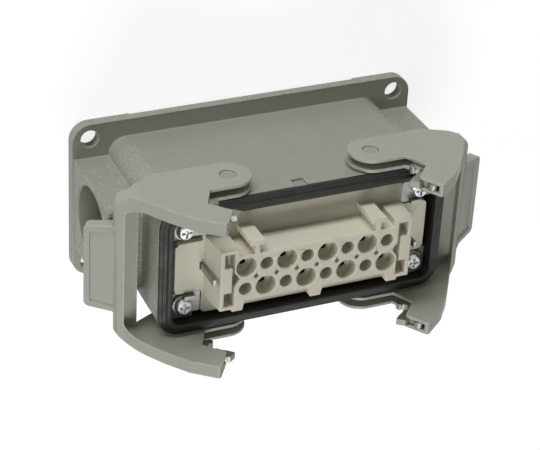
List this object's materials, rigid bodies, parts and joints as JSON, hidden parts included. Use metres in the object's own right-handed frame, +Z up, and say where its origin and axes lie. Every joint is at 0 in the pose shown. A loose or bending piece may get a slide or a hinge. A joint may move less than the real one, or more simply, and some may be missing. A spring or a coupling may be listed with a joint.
{
  "type": "rectangular connector housing",
  "caption": "Surface-mounting rectangular connector housing with a screw-terminal socket insert, a rim seal, a side cable entry and locking levers at both ends.",
  "frame": {"origin": "middle of the underside of the foot plate, on the mounting surface", "axes": "+X along the connector, away from the cable entry; +Y across it, towards the side with the T ribs of the insert; +Z up, towards the mating side"},
  "size_m": [0.133, 0.054, 0.0713],
  "materials": {
    "housing_paint": "satin grey-green powder coat over die-cast aluminium, slightly grained where the casting is rougher",
    "lever_paint": "satin grey-green paint",
    "seal_rubber": "matte black moulded rubber",
    "insert_plastic": "matte light beige-grey thermoplastic",
    "contact_plating": "silver-plated copper alloy",
    "screw_steel": "zinc-plated steel",
    "earth_steel": "bright plated steel sheet",
    "hook_steel": "bright stamped stainless steel"
  },
  "bodies": {
    "base": {"housing": "housing_paint", "rim_seal": "seal_rubber", "insert_body": "insert_plastic", "socket_01": "contact_plating", "socket_02": "contact_plating", "socket_03": "contact_plating", "socket_04": "contact_plating", "socket_05": "contact_plating", "socket_06": "contact_plating", "socket_07": "contact_plating", "socket_08": "contact_plating", "socket_09": "contact_plating", "socket_10": "contact_plating", "socket_11": "contact_plating", "socket_12": "contact_plating", "socket_13": "contact_plating", "socket_14": "contact_plating", "socket_15": "contact_plating", "socket_16": "contact_plating", "terminal_screws": "screw_steel", "insert_screws": "screw_steel", "earth_plate_left": "earth_steel", "earth_plate_right": "earth_steel", "earth_screws": "screw_steel"},
    "left_latch": {"lever_left": "lever_paint", "hook_plate_left_back": "hook_steel", "hook_plate_left_front": "hook_steel"},
    "right_latch": {"lever_right": "lever_paint", "hook_plate_right_back": "hook_steel", "hook_plate_right_front": "hook_steel"}
  },
  "joints": [
    {"name": "lever_left_hinge", "type": "hinge", "parent": "base", "child": "left_latch", "pos_m": [-0.0235, 0, 0.0449], "axis": [0, 1, 0], "range_deg": [0, 50]},
    {"name": "lever_right_hinge", "type": "hinge", "parent": "base", "child": "right_latch", "pos_m": [0.0235, 0, 0.0449], "axis": [0, -1, 0], "range_deg": [0, 50]}
  ]
}
